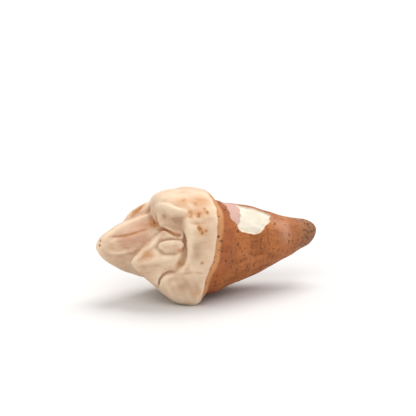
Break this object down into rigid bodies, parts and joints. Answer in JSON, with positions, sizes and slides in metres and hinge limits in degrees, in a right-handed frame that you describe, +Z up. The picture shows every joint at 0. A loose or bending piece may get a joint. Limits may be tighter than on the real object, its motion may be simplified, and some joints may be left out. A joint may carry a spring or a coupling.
{
  "type": "fossil cave bear tooth",
  "caption": "Fossil cave bear tooth lying on its side: a cusped enamel crown on a single tapering brown root with a pale chip.",
  "frame": {"origin": "middle of the tooth's outer box, on the surface it lies on", "axes": "+X along the tooth from crown to root tip, +Y from the lingual side to the labial side, +Z up"},
  "size_m": [0.0384, 0.0166, 0.0185],
  "materials": {
    "tooth": "satin"
  },
  "bodies": {
    "root": {"tooth": "tooth"}
  },
  "joints": []
}
